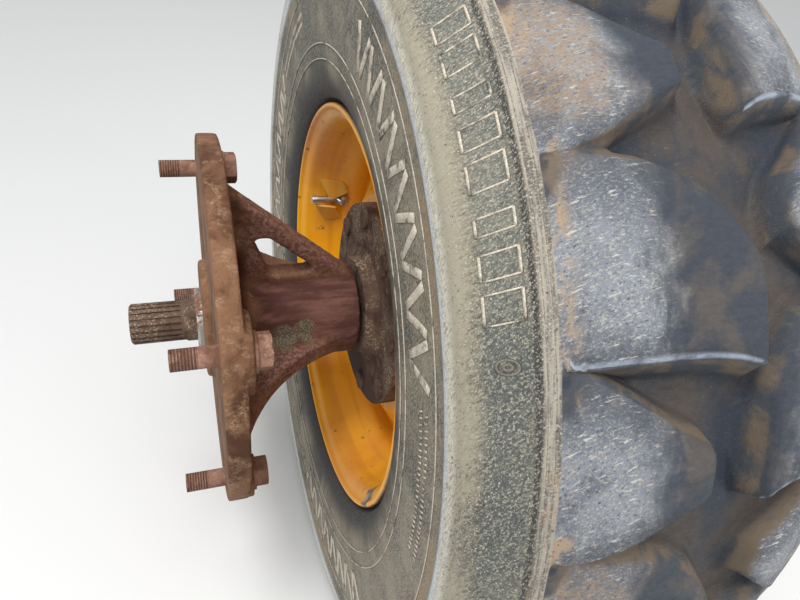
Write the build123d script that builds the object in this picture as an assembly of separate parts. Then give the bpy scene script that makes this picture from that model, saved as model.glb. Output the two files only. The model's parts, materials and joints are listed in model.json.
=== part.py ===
from build123d import *
import os
from math import atan2, cos, pi, radians, sin, sqrt, tan

# A skid steer loader's wheel on the axle end that carries it, in millimetres.
# X runs outboard along the axle, Z is up, and the origin is the centre of the
# housing's mounting face. Sections are (x, radius) corners turned about X.

# Clearances
fit_gap = 0.02          # turned fits inside one body
running_gap = 0.05      # between a bearing's cup and its rollers
seat_gap = 0.2          # between curved faces that only rest on each other
turning_gap = 5.0       # between the still casting and the turning hub

# Axle housing, an iron casting
flange_radius = 190.0
flange_thickness = 20.0
pilot_radius = 62.0
pilot_length = 8.0
housing_length = 152.0
barrel_radius = 52.0
barrel_root_radius = 60.0
barrel_root_length = 40.0
root_fillet = 8.0       # where the barrel's root meets the flange
root_fillet_length = 14.0
core_radius = 43.0
rib_thickness = 20.0
low_rib_thickness = 24.0
rib_end_inset = 4.0     # ribs stop this far short of the casting's mouth
high_rib_height = 165.0
low_rib_height = 158.0
rib_step = 2.0          # a rib's end stands this far out of the barrel
rib_sag = 24.0          # how far the low rib's edge curves in
window_edge_web = 16.0
window_barrel_web = 11.0
window_top_x = 21.0     # from the flange
window_top_width = 17.0
window_foot_width = 54.0

# Flange bolts and their washers
bolt_spacing_y = 270.0
bolt_spacing_z = 195.0
bolt_radius = 10.0
bolt_thread_drop = 0.8  # the threaded end is a plain bar at the thread's mean radius
bolt_standout = 38.0
bolt_head_flats = 30.0
bolt_head_height = 12.5
bolt_hole_gap = 0.6
washer_radius = 18.5
washer_thickness = 3.0
boss_width = 54.0       # the bolt bosses are square pads
boss_corner = 6.0
boss_height = 7.0

# Bearings and the oil seal
bearing_width = 20.0
inner_cup_radius = 37.5
inner_journal_radius = 22.5
outer_cup_radius = 42.0
outer_journal_radius = 26.0
cup_wall = 3.0
cup_taper = 3.0
bearing_seal_gap = 4.0
cup_shoulder = 5.0      # the ledge inside the casting that holds each cup
cup_ledge = 2.0         # how far it stands past the cup's inside
core_slope = 7.0
seal_depth = 12.0
seal_radius = 44.0
seal_journal_radius = 32.0
seal_inset = 1.0        # from each end of its seat
seal_lip_step = 3.0     # how the lip's section narrows
bearing_nut_radius = 33.0
bearing_nut_width = 12.0
bearing_nut_slot = 8.0
tab_washer_width = 2.0

# Axle shaft, one forging with its wheel flange
spline_length = 52.0
spline_radius = 21.0
spline_depth = 2.2
spline_teeth = 20
shaft_overhang = 78.0
shaft_waist_radius = 24.0
hub_boss_radius = 54.0
hub_boss_root_radius = 66.0
hub_boss_length = 13.0
hub_flange_edge = 14.4  # from the stud circle out to the edge
hub_flange_thickness = 18.0
hub_pilot_length = 14.0
hub_recess_radius = 46.0
hub_recess_depth = 8.0
hub_pilot_gap = 0.7     # inside the disc's hole
hub_pilot_bevel = 3.0
boss_swell = 4.0        # the hub boss widens by this much before its root
boss_root_length = 5.0
journal_relief = 4.0    # the shaft's waist starts this far from a bearing
spline_relief = 3.0
shaft_bevel = 2.0

# Wheel studs and nuts
stud_circle_radius = 101.6
stud_count = 8
stud_radius = 7.9
stud_head_radius = 11.0
stud_head_height = 3.5
stud_length = 52.0
nut_flats = 27.0
nut_height = 20.0
nut_foot = 2.0          # the round foot under the nut's hexagon
stud_start_angle = 22.5  # of the first stud, from the top

# Wheel disc
disc_thickness = 10.0
disc_hole_radius = 76.2
disc_flat_edge = 24.4   # from the stud circle out to the dish
disc_dish = 24.0
disc_lip_length = 30.0
disc_weld = 7.0
disc_bend = 4.0         # the corner between the dish and the lip
disc_lip_thickness = 8.0
disc_weld_gap = 1.0     # the welded edge stands this far inside the rim
stud_hole_radius = 9.0

# Rim: its width is between the insides of its two edges
rim_width = 247.65
rim_lip_width = 13.0
rim_lip_radius = 222.2
bead_seat_radius = 209.5
bead_seat_width = 31.0
bead_seat_angle = 15.0
well_radius = 186.0
well_half_width = 68.0
rim_thickness = 6.0
rim_lip_x = 133.0       # the inboard edge of the rim
rim_lip_round = 7.0
rim_lip_slope = 5.0     # the lip leans out this far on its way to the edge
rim_curl = 3.0          # the edge is turned down by this much

# Tyre
tyre_half_width = 153.5
tyre_radius = 422.0
lug_height = 26.0
shoulder_rise = 6.0     # the shoulder stands this far out of the tread floor
shoulder_half_width = 118.0
crown_half_width = 62.0
carcass_thickness = 15.0
crown_drop = 2.0        # the tread falls this much to the ends of its crown
shoulder_fall = 22.0    # the last part of the lugs' tops, where they slope down most
shoulder_flat = 10.0
bead_lift = 0.6         # over the rim's bead seat, which the bead doesn't touch
bead_cover = 1.5        # over the rim's rolled edge
bulge_rise = 18.0       # where the sidewall swells out past the rim's edge
bulge_width = 20.5
sidewall_inset = 4.0    # the plain sidewall lies this far inside the rubbing ridge
sidewall_thickness = 22.0
ridge_depth = 37.0      # from the tread floor down to the ridge's crest
ridge_foot = 13.0       # from the crest down to the plain sidewall
ridge_crown = 12.0      # from the crest up to the band under the shoulder
band_step = 6.0

# Tread: on each side a long and a short lug take turns. Each list follows one edge of a
# lug as (distance in from the shoulder, degrees past the lug's lower corner there).
lug_pairs = 11
lug_lean = 22.0         # of a lug's walls
lug_start = 107.0       # the lugs' outer ends, from the middle of the tread
long_lug_low = [(0, 0.0), (88, 0.1), (127, -1.1)]
long_lug_high = [(0, 16.4), (60, 15.4), (107, 11.6), (127, 8.0)]
short_lug_low = [(0, 0.0), (28, 0.8), (95, 5.1)]
short_lug_high = [(0, 16.4), (28, 15.0), (66, 11.0), (95, 8.9)]
far_lug_share = 0.6   # the length of the outboard side's lugs, of the inboard side's
first_lug_angle = 40.35  # of a long lug's lower corner
far_lug_turn = 20.5     # from there to the outboard side's long lug

# Valve and its guard, inside the rim
valve_angle = 176.0
valve_hole_radius = 7.5
valve_foot_radius = 9.5
valve_foot_height = 7.0
valve_stem_radius = 4.2
valve_rise = 16.0
valve_bend_radius = 11.0
valve_stem_length = 34.0
valve_cap_length = 9.0
valve_cap_radius = 5.2
guard_thickness = 4.0
guard_length = 38.0
guard_width = 34.0
guard_lean = 25.0
guard_slot = 20.0       # between the two plates' free edges
guard_lift = 12.5       # from the rim to a plate's middle
guard_twist = 10.0      # the plates close up towards the well
guard_shift = -8.0      # of the plates along the rim, towards the well

# Angles on the wheel are counted from the front (-Y) towards the top
top_angle = 90.0

# Places worked out from the sizes above
boss_face_x = flange_thickness + boss_height
hub_boss_x = housing_length + turning_gap
hub_flange_x = hub_boss_x + hub_boss_length
disc_face_x = hub_flange_x + hub_flange_thickness
mid_x = rim_lip_x + rim_lip_width + rim_width / 2
seal_x = housing_length - seal_depth
hub_flange_radius = stud_circle_radius + hub_flange_edge
disc_flat_radius = stud_circle_radius + disc_flat_edge
window_corner = window_top_width * 0.4
outer_bearing_x = seal_x - bearing_seal_gap - bearing_width
half_gauge = rim_width / 2
tread_floor_radius = tyre_radius - lug_height
shoulder_radius = tread_floor_radius + shoulder_rise
bolt_places = [
    (side_y * bolt_spacing_y / 2, side_z * bolt_spacing_z / 2)
    for side_y in (-1, 1)
    for side_z in (-1, 1)
]
# Outlines lie in the plane of X and Z, where a height above the axle is a radius.
side_plane = Plane(origin=(0, 0, 0), x_dir=(1, 0, 0), z_dir=(0, -1, 0))


def face_of(corners):
    """A flat face in the plane of X and Z from its corners."""
    return side_plane * make_face(Polyline(*corners, close=True))


def turned(corners):
    """A ring or shaft: its section turned once about the axle."""
    return revolve(face_of(corners), Axis.X, 360)


def bar_along_x(radius, start_x, end_x, y=0.0, z=0.0):
    """A round bar parallel to the axle."""
    place = Plane(origin=(start_x, y, z), x_dir=(0, 1, 0), z_dir=(1, 0, 0))
    return extrude(place * Circle(radius), end_x - start_x)


def hexagon_along_x(flats, start_x, end_x, y=0.0, z=0.0):
    """A hexagon head or nut with its outer corners turned off at 30 degrees."""
    place = Plane(origin=(start_x, y, z), x_dir=(0, 1, 0), z_dir=(1, 0, 0))
    outline = RegularPolygon(flats / 2, 6, major_radius=False)
    height = end_x - start_x
    blank = extrude(place * outline, height)
    wide = flats / sqrt(3) + 1
    drop = (wide - flats / 2 * 0.97) * tan(radians(30))
    cone = Polyline(
        (0, 0), (wide, 0), (wide, height - drop), (flats / 2 * 0.97, height), (0, height), close=True
    )
    section = Plane(origin=(start_x, y, z), x_dir=(0, 1, 0), z_dir=(0, 0, -1))
    turned_end = revolve(section * make_face(cone), Axis((start_x, y, z), (1, 0, 0)), 360)
    return blank & turned_end


def around_axle(shape, count, start_angle=0.0):
    """Evenly spaced copies of a shape about the axle."""
    return [
        Rot(X=start_angle + step * 360 / count) * shape
        for step in range(count)
    ]


def save(name, *solids):
    """One node: its solids, which don't touch each other, in one STEP file."""
    shape = Compound(label=name, children=list(solids)) if len(solids) > 1 else solids[0]
    shape.label = name
    export_step(shape, os.path.join("parts", name + ".step"))


def rib_ends():
    """Where every rib starts inside the flange and ends near the casting's mouth."""
    root_x = flange_thickness / 2
    end_x = housing_length - rib_end_inset
    end_height = barrel_radius + rib_step
    return root_x, end_x, end_height


def windowed_rib():
    """The tall straight rib, with its rounded four-cornered window."""
    root_x, end_x, end_height = rib_ends()
    edge_start_x = flange_thickness + rib_step
    fall = (high_rib_height - end_height) / (end_x - edge_start_x)
    outline = face_of([
        (root_x, core_radius), (root_x, high_rib_height), (edge_start_x, high_rib_height),
        (end_x, end_height), (end_x, core_radius),
    ])
    # the window's sloping side runs parallel to the rib's edge, one web inside it
    web_start = high_rib_height - window_edge_web * sqrt(1 + fall**2)
    top_x = flange_thickness + window_top_x
    top_end_x = top_x + window_top_width
    top_height = web_start - fall * (top_end_x - edge_start_x)
    foot_height = barrel_radius + window_barrel_web
    foot_end_x = edge_start_x + (web_start - foot_height) / fall
    window = face_of([
        (top_x, top_height), (top_end_x, top_height),
        (foot_end_x, foot_height), (foot_end_x - window_foot_width, foot_height),
    ])
    window = fillet(window.vertices(), window_corner)
    plate = extrude(outline, rib_thickness / 2, both=True)
    return plate - extrude(window, rib_thickness, both=True)


def curved_rib():
    """The lower, thicker rib, whose edge sweeps in from the flange to the barrel."""
    root_x, end_x, end_height = rib_ends()
    edge = SagittaArc((flange_thickness, low_rib_height), (end_x, end_height), -rib_sag)
    rest = Polyline(
        (end_x, end_height), (end_x, core_radius), (root_x, core_radius),
        (root_x, low_rib_height), (flange_thickness, low_rib_height),
    )
    outline = side_plane * make_face([edge, rest])
    return extrude(outline, low_rib_thickness / 2, both=True)


def bolt_boss(y, z):
    """The square pad that a flange bolt's washer rests on, cut off at the flange's edge."""
    start_x = flange_thickness / 2
    place = Plane(origin=(start_x, y, z), x_dir=(0, 1, 0), z_dir=(1, 0, 0))
    pad = extrude(place * RectangleRounded(boss_width, boss_width, boss_corner), boss_face_x - start_x)
    return pad & bar_along_x(flange_radius, start_x - 1, boss_face_x + 1)


def axle_housing():
    """The casting: flange, pilot, barrel, four ribs and four bolt bosses."""
    body = turned([
        (-pilot_length, 0), (-pilot_length, pilot_radius), (0, pilot_radius),
        (0, flange_radius), (flange_thickness, flange_radius),
        (flange_thickness, barrel_root_radius + root_fillet),
        (flange_thickness + root_fillet_length, barrel_root_radius),
        (flange_thickness + barrel_root_length, barrel_radius),
        (housing_length, barrel_radius), (housing_length, 0),
    ])
    for turn, rib in ((0, windowed_rib()), (180, windowed_rib()), (90, curved_rib()), (270, curved_rib())):
        body += Rot(X=turn) * rib
    for y, z in bolt_places:
        body += bolt_boss(y, z)
    for y, z in bolt_places:
        body -= bar_along_x(bolt_radius + bolt_hole_gap, -1, boss_face_x + 1, y, z)
    cup_step = cup_wall + cup_taper + cup_ledge
    inner_ledge_x = bearing_width + cup_shoulder
    outer_ledge_x = outer_bearing_x - cup_shoulder
    bore = turned([
        (-pilot_length - 1, 0), (-pilot_length - 1, inner_cup_radius),
        (bearing_width, inner_cup_radius), (bearing_width, inner_cup_radius - cup_step),
        (inner_ledge_x, inner_cup_radius - cup_step), (inner_ledge_x + core_slope, core_radius),
        (outer_ledge_x - core_slope, core_radius), (outer_ledge_x, outer_cup_radius - cup_step),
        (outer_bearing_x, outer_cup_radius - cup_step), (outer_bearing_x, outer_cup_radius),
        (seal_x, outer_cup_radius), (seal_x, seal_radius),
        (housing_length + 1, seal_radius), (housing_length + 1, 0),
    ])
    return body - bore


def flange_bolt(y, z):
    """A hexagon bolt whose threaded end stands out behind the flange."""
    head_x = boss_face_x + washer_thickness
    head = hexagon_along_x(bolt_head_flats, head_x, head_x + bolt_head_height, y, z)
    shank = bar_along_x(bolt_radius, 0, head_x + 1, y, z)
    return head + shank + bar_along_x(bolt_radius - bolt_thread_drop, -bolt_standout, 1, y, z)


def flange_washer(y, z):
    """The round washer between a bolt head and its boss."""
    end_x = boss_face_x + washer_thickness
    disc = bar_along_x(washer_radius, boss_face_x, end_x, y, z)
    return disc - bar_along_x(bolt_radius + fit_gap * 5, boss_face_x - 1, end_x + 1, y, z)


def bearing_cup(start_x, cup_radius, opens):
    """The still outer ring of a taper roller bearing; opens is the side of its wide end."""
    end_x = start_x + bearing_width
    narrow = cup_radius - cup_wall - cup_taper
    wide = cup_radius - cup_wall
    first, last = (wide, narrow) if opens < 0 else (narrow, wide)
    outside = cup_radius - fit_gap
    return turned([(start_x, first), (start_x, outside), (end_x, outside), (end_x, last)])


def bearing_cone(start_x, cup_radius, journal_radius, opens):
    """The turning inner ring with its rollers."""
    end_x = start_x + bearing_width
    narrow = cup_radius - cup_wall - cup_taper - running_gap
    wide = cup_radius - cup_wall - running_gap
    first, last = (wide, narrow) if opens < 0 else (narrow, wide)
    inside = journal_radius + fit_gap
    return turned([(start_x, inside), (start_x, first), (end_x, last), (end_x, inside)])


def shaft_seal():
    """The lip seal pressed into the casting's mouth."""
    lip = seal_journal_radius + running_gap
    outside = seal_radius - fit_gap
    start_x = seal_x + seal_inset
    end_x = housing_length - seal_inset
    return turned([
        (start_x, lip + seal_lip_step * 1.6), (start_x, outside), (end_x, outside),
        (end_x, lip + seal_lip_step), (end_x - seal_lip_step, lip),
        (end_x - seal_lip_step * 2, lip + seal_lip_step / 2),
    ])


def bearing_nut():
    """The slotted ring nut that holds the bearings."""
    start_x = -tab_washer_width - bearing_nut_width
    ring = turned([
        (start_x, inner_journal_radius + fit_gap), (start_x, bearing_nut_radius - 2),
        (start_x + 2, bearing_nut_radius), (-tab_washer_width, bearing_nut_radius),
        (-tab_washer_width, inner_journal_radius + fit_gap),
    ])
    slot = Pos(start_x + bearing_nut_width / 2, 0, bearing_nut_radius) * Box(
        bearing_nut_width + 2, bearing_nut_slot, bearing_nut_slot
    )
    for cut in around_axle(slot, 4, 45):
        ring -= cut
    return ring


def tab_washer():
    """The washer between the nut and the inner bearing, with the bent tab that locks the nut."""
    inside = inner_journal_radius + fit_gap
    ring = turned([
        (-tab_washer_width, inside), (-tab_washer_width, bearing_nut_radius),
        (0, bearing_nut_radius), (0, inside),
    ])
    tab_length = bearing_nut_width / 2 + tab_washer_width
    tab_height = bearing_nut_slot / 2 - 1
    tab = Pos(-tab_length / 2, 0, bearing_nut_radius - tab_height / 2) * Box(
        tab_length, bearing_nut_slot - 1, tab_height
    )
    return ring + Rot(X=45) * tab


def axle_shaft():
    """The forging: splined inner end, journals, hub boss and wheel flange."""
    outer_journal_x = outer_bearing_x + bearing_width
    spline_end_x = -shaft_overhang + spline_length
    pilot_radius_out = disc_hole_radius - hub_pilot_gap
    pilot_end_x = disc_face_x + hub_pilot_length
    body = turned([
        (-shaft_overhang, 0), (-shaft_overhang, spline_radius - shaft_bevel),
        (-shaft_overhang + shaft_bevel, spline_radius), (spline_end_x, spline_radius),
        (spline_end_x + spline_relief, inner_journal_radius), (bearing_width, inner_journal_radius),
        (bearing_width + journal_relief, shaft_waist_radius),
        (outer_bearing_x - journal_relief, shaft_waist_radius),
        (outer_bearing_x, outer_journal_radius), (outer_journal_x, outer_journal_radius),
        (outer_journal_x, seal_journal_radius), (hub_boss_x, seal_journal_radius),
        (hub_boss_x, hub_boss_radius), (hub_flange_x - boss_root_length, hub_boss_radius + boss_swell),
        (hub_flange_x, hub_boss_root_radius), (hub_flange_x, hub_flange_radius),
        (disc_face_x, hub_flange_radius), (disc_face_x, pilot_radius_out),
        (pilot_end_x - hub_pilot_bevel, pilot_radius_out),
        (pilot_end_x, pilot_radius_out - hub_pilot_bevel), (pilot_end_x, hub_recess_radius),
        (pilot_end_x - hub_recess_depth, hub_recess_radius - hub_pilot_bevel),
        (pilot_end_x - hub_recess_depth, 0),
    ])
    groove_width = 2 * pi * spline_radius / spline_teeth / 2
    groove = Pos(-shaft_overhang + spline_length / 2 - spline_relief, 0, spline_radius) * Box(
        spline_length, groove_width, spline_depth * 2
    )
    for cut in around_axle(groove, spline_teeth):
        body -= cut
    stud_hole = bar_along_x(
        stud_radius, hub_flange_x - 1, disc_face_x + 1, 0, stud_circle_radius
    )
    for cut in around_axle(stud_hole, stud_count, stud_start_angle):
        body -= cut
    return body


def wheel_stud():
    """A pressed-in stud, its round head behind the flange."""
    head = bar_along_x(
        stud_head_radius, hub_flange_x - stud_head_height, hub_flange_x, 0, stud_circle_radius
    )
    shank = bar_along_x(
        stud_radius - fit_gap, hub_flange_x - 1, hub_flange_x + stud_length, 0, stud_circle_radius
    )
    return head + shank


def wheel_nut():
    """A hexagon nut on its round foot, against the disc."""
    seat_x = disc_face_x + disc_thickness
    foot_x = seat_x + nut_foot
    body = hexagon_along_x(nut_flats, foot_x, foot_x + nut_height, 0, stud_circle_radius)
    body += bar_along_x(nut_flats / 2, seat_x, foot_x + 1, 0, stud_circle_radius)
    return body - bar_along_x(
        stud_radius + fit_gap, seat_x - 1, foot_x + nut_height + 1, 0, stud_circle_radius
    )


def wheel_disc():
    """The pressed disc: flat on the hub, dished outboard, its lip welded inside the rim."""
    lip_radius = well_radius - rim_thickness - seat_gap
    flat_x = disc_face_x
    dish_x = disc_face_x + disc_dish
    slope_radius = lip_radius - disc_thickness - disc_bend
    edge_radius = lip_radius - disc_weld_gap
    weld_x = dish_x + disc_bend - disc_weld
    lip_end_x = dish_x + disc_lip_length
    back_x = dish_x + disc_thickness + disc_bend
    section = [
        (flat_x, disc_hole_radius), (flat_x, disc_flat_radius), (dish_x, slope_radius),
        (dish_x + disc_bend * 1.5, slope_radius + disc_bend), (dish_x + disc_bend, edge_radius),
        (weld_x, edge_radius), (weld_x, lip_radius), (lip_end_x, lip_radius),
        (lip_end_x, lip_radius - disc_lip_thickness), (back_x, lip_radius - disc_lip_thickness),
        (back_x - disc_bend * 1.25, slope_radius), (flat_x + disc_thickness, disc_flat_radius - disc_bend),
        (flat_x + disc_thickness, disc_hole_radius),
    ]
    body = turned(section)
    hole = bar_along_x(
        stud_hole_radius, disc_face_x - 1, disc_face_x + disc_thickness + 1, 0, stud_circle_radius
    )
    for cut in around_axle(hole, stud_count, stud_start_angle):
        body -= cut
    return body


def rim_section():
    """The rolled rim's section as (distance from its middle, radius), inboard half first."""
    seat_drop = bead_seat_width * tan(radians(bead_seat_angle))
    hump = half_gauge - bead_seat_width
    outer_half = [
        (half_gauge + rim_lip_width, rim_lip_radius - rim_curl * 1.6),
        (half_gauge + rim_lip_width - rim_curl, rim_lip_radius),
        (half_gauge + rim_lip_slope, rim_lip_radius),
        (half_gauge, bead_seat_radius + rim_lip_round - 1),
        (half_gauge, bead_seat_radius),
        (hump, bead_seat_radius - seat_drop),
        (well_half_width, well_radius),
    ]
    inner_half = [
        (well_half_width + rim_curl / 2, well_radius - rim_thickness),
        (hump + rim_curl / 2, bead_seat_radius - seat_drop - rim_thickness),
        (half_gauge + rim_curl, bead_seat_radius - rim_thickness + rim_curl / 2),
        (half_gauge + rim_lip_slope + rim_curl, rim_lip_radius - rim_lip_round),
        (half_gauge + rim_lip_width - rim_curl, rim_lip_radius - rim_lip_round),
    ]
    return outer_half, inner_half


def rim():
    """The rim: bead seats at each side of a deep well."""
    outer_half, inner_half = rim_section()
    left_out = [(mid_x - w, r) for w, r in outer_half]
    right_out = [(mid_x + w, r) for w, r in reversed(outer_half)]
    right_in = [(mid_x + w, r) for w, r in reversed(inner_half)]
    left_in = [(mid_x - w, r) for w, r in inner_half]
    return turned(left_out + right_out + right_in + left_in) - valve_hole()


def on_slope(first, last):
    """A plane on the rim's inside, midway between two corners of its section.

    Its x axis runs inboard along the rim and its z axis points in towards the axle.
    """
    (first_w, first_r), (last_w, last_r) = first, last
    middle = (mid_x - (first_w + last_w) / 2, 0, (first_r + last_r) / 2)
    slope = atan2(last_r - first_r, last_w - first_w)
    return Plane(
        origin=middle,
        x_dir=(-cos(slope), 0, sin(slope)),
        z_dir=(-sin(slope), 0, -cos(slope)),
    )


def valve_frame():
    """Where the valve's foot stands: on the slope between the well and the bead seat."""
    inner_half = rim_section()[1]
    return on_slope(inner_half[0], inner_half[1])


def to_valve(shape):
    """Turns a shape made straight above the axle to the valve's place on the rim."""
    return Rot(X=top_angle - valve_angle) * shape


def valve_hole():
    """The hole in the rim that the valve's foot fills."""
    return to_valve(extrude(valve_frame() * Circle(valve_hole_radius), rim_thickness * 2, both=True))


def valve_path():
    """The stem's line: straight out of the rim, then bent to run inboard beside it."""
    frame = valve_frame()
    start = frame.origin + frame.z_dir * (valve_foot_height / 2)
    bend = frame.origin + frame.z_dir * valve_rise
    end = bend + Vector(-valve_stem_length, 0, 0)
    return FilletPolyline(start, bend, end, radius=valve_bend_radius)


def valve_stem():
    """The valve: a rubber foot through the rim and the bent metal stem."""
    frame = valve_frame()
    plug = extrude(frame.offset(-rim_thickness) * Circle(valve_hole_radius - fit_gap), rim_thickness + 2)
    foot = extrude(frame.offset(seat_gap) * Circle(valve_foot_radius), valve_foot_height, taper=15)
    line = valve_path()
    stem = sweep(Plane(origin=line @ 0, z_dir=line % 0) * Circle(valve_stem_radius), path=line)
    return to_valve(plug + foot + stem)


def valve_cap():
    """The cap on the stem's end."""
    line = valve_path()
    start = Plane(origin=line @ 1, z_dir=line % 1).offset(fit_gap)
    return to_valve(extrude(start * Circle(valve_cap_radius), valve_cap_length, taper=4))


def valve_guard():
    """Two plates welded inside the rim that lean over the stem, one from each side."""
    inner_half = rim_section()[1]
    frame = on_slope(inner_half[1], inner_half[2])
    tabs = []
    for side in (-1, 1):
        tilt = Rot(X=side * guard_lean) * Rot(Z=side * guard_twist)
        plate = tilt * Box(guard_length, guard_width, guard_thickness)
        reach = guard_slot / 2 + guard_width / 2 * cos(radians(guard_lean))
        tabs.append(to_valve(frame * Pos(guard_shift, side * reach, guard_lift) * plate))
    return tabs


def tyre_carcass():
    """The tyre without its lugs: beads, sidewalls with their rubbing ridge, tread floor."""
    crest_radius = tread_floor_radius - ridge_depth
    ridge_foot_radius = crest_radius - ridge_foot
    bulge_radius = rim_lip_radius + bulge_rise
    middle_radius = (bulge_radius + ridge_foot_radius) / 2
    wall_width = tyre_half_width - sidewall_inset
    seat_drop = bead_seat_width / 2 * tan(radians(bead_seat_angle))
    seat = [
        (half_gauge - bead_seat_width * 0.62, bead_seat_radius - seat_drop - bead_lift),
        (half_gauge - seat_gap, bead_seat_radius + seat_gap),
        (half_gauge - seat_gap, bead_seat_radius + rim_lip_round),
        (half_gauge + rim_lip_slope - seat_gap, rim_lip_radius + bead_cover),
    ]
    side = [
        (half_gauge + rim_lip_width - 1, rim_lip_radius + bead_cover * 2.6),
        (half_gauge + bulge_width, bulge_radius),
        (wall_width, middle_radius),
        (wall_width, ridge_foot_radius),
        (tyre_half_width, crest_radius),
        (tyre_half_width - ridge_crown / 4, crest_radius + ridge_crown),
        (tyre_half_width - ridge_crown / 4 - band_step, crest_radius + ridge_crown + band_step),
        (shoulder_half_width + shoulder_rise, tread_floor_radius),
        (shoulder_half_width, shoulder_radius),
        (shoulder_half_width - shoulder_flat, shoulder_radius),
        (crown_half_width, tread_floor_radius),
    ]
    inside_radius = tread_floor_radius - carcass_thickness
    inside_width = wall_width - sidewall_thickness
    inside = [
        (crown_half_width, inside_radius),
        (shoulder_half_width - shoulder_flat, inside_radius - shoulder_rise),
        (inside_width, ridge_foot_radius),
        (inside_width, middle_radius),
        (half_gauge, bulge_radius + shoulder_rise),
        (half_gauge - bead_seat_width * 0.4, rim_lip_radius),
    ]
    left = [(mid_x - w, r) for w, r in seat + side]
    right = [(mid_x + w, r) for w, r in reversed(seat + side)]
    right_in = [(mid_x + w, r) for w, r in reversed(inside)]
    left_in = [(mid_x - w, r) for w, r in inside]
    return turned(left + right + right_in + left_in)


def lug_tops():
    """The worn tops of the lugs, as (distance from the tread's middle, radius)."""
    return [
        (shoulder_half_width - 1, shoulder_radius),
        (shoulder_half_width - shoulder_fall, shoulder_radius + shoulder_fall * 0.4),
        (crown_half_width, tyre_radius - crown_drop),
        (crown_half_width / 3, tyre_radius),
    ]


def lug_envelope():
    """The space that the lugs fill: from under the tread floor out to their worn tops."""
    half = [(shoulder_half_width - 1, tread_floor_radius - carcass_thickness / 2), *lug_tops()]
    left = [(mid_x - w, r) for w, r in half]
    right = [(mid_x + w, r) for w, r in reversed(half)]
    return turned(left + right)


def top_at(width):
    """The radius of the lugs' tops at a distance from the tread's middle."""
    tops = lug_tops()
    for (outer_w, outer_r), (inner_w, inner_r) in zip(tops, tops[1:]):
        if width >= inner_w:
            share = (outer_w - width) / (outer_w - inner_w)
            return outer_r + share * (inner_r - outer_r)
    return tyre_radius


def lug_foot_edge(corners, side, share, foot_height):
    """One edge of a lug's foot, as (x, y) corners, from the shoulder in to its nose.

    The lug's walls lean, so its foot is wider than its top; side is 1 for the upper edge.
    """
    half_pitch = 360 / lug_pairs / 4
    edge = []
    for run_in, angle in corners:
        width = lug_start - run_in * share
        radius = top_at(abs(width))
        across = radians(angle - half_pitch)
        spread = (radius * cos(across) - foot_height) * tan(radians(lug_lean))
        edge.append((mid_x - width, radius * sin(across) + side * spread))
    nose_x, nose_y = edge[-1]
    edge[-1] = (nose_x + spread, nose_y)
    start_x, start_y = edge[0]
    edge[0] = (start_x - shoulder_fall * 2, start_y)
    return edge


def lug(low, high, share):
    """One lug of the inboard side, with its middle at the top of the tyre."""
    foot_height = tread_floor_radius - carcass_thickness * 0.8
    lower = lug_foot_edge(low, -1, share, foot_height)
    upper = lug_foot_edge(high, 1, share, foot_height)
    outline = Pos(0, 0, foot_height) * make_face(Polyline(*lower, *reversed(upper), close=True))
    blank = extrude(outline, tyre_radius + 4 - foot_height, taper=lug_lean)
    return blank & lug_envelope()


def lug_ring(low, high, share, start_angle):
    """The equal lugs of one ring, the first one's lower corner at an angle from the front."""
    pitch = 360 / lug_pairs
    middle = start_angle + pitch / 4
    return around_axle(lug(low, high, share), lug_pairs, top_angle - middle)


def tyre():
    """The carcass with its lugs, long and short in turn on each side."""
    half_turn = 360 / lug_pairs / 2
    far_angle = first_lug_angle + far_lug_turn
    near = lug_ring(long_lug_low, long_lug_high, 1.0, first_lug_angle)
    near += lug_ring(short_lug_low, short_lug_high, 1.0, first_lug_angle + half_turn)
    far = lug_ring(long_lug_low, long_lug_high, far_lug_share, far_angle)
    far += lug_ring(short_lug_low, short_lug_high, far_lug_share, far_angle + half_turn)
    middle = Plane(origin=(mid_x, 0, 0), z_dir=(1, 0, 0))
    return tyre_carcass().fuse(*near, *[mirror(shape, middle) for shape in far])


os.makedirs("parts", exist_ok=True)
save("axle_housing", axle_housing())
save("flange_bolts", *[flange_bolt(y, z) for y, z in bolt_places])
save("flange_washers", *[flange_washer(y, z) for y, z in bolt_places])
save("inner_bearing_cup", bearing_cup(0, inner_cup_radius, -1))
save("outer_bearing_cup", bearing_cup(outer_bearing_x, outer_cup_radius, 1))
save("shaft_seal", shaft_seal())
save("inner_bearing_cone", bearing_cone(0, inner_cup_radius, inner_journal_radius, -1))
save("outer_bearing_cone", bearing_cone(outer_bearing_x, outer_cup_radius, outer_journal_radius, 1))
save("bearing_nut", bearing_nut())
save("tab_washer", tab_washer())
save("axle_shaft", axle_shaft())
save("wheel_studs", *around_axle(wheel_stud(), stud_count, stud_start_angle))
save("wheel_nuts", *around_axle(wheel_nut(), stud_count, stud_start_angle))
save("wheel_disc", wheel_disc())
save("rim", rim())
save("valve_stem", valve_stem())
save("valve_cap", valve_cap())
save("valve_guard", *valve_guard())
save("tyre", tyre())
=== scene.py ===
# %% [markdown]
# A skid steer loader's wheel, bolted to the cast axle end that carries it.
# Its solids are a fixed frame, loaded here. This script gives them their
# finish, and builds the tyre, the casting and the pressed steel as finer
# meshes in the same place. Lengths are in metres. X runs outboard along the
# axle and Z is up.

# %% Load the fixed frame
import json
from math import cos, degrees, pi, radians, sin, tan

import bmesh
import bpy
from mathutils import Matrix, Vector


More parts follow.
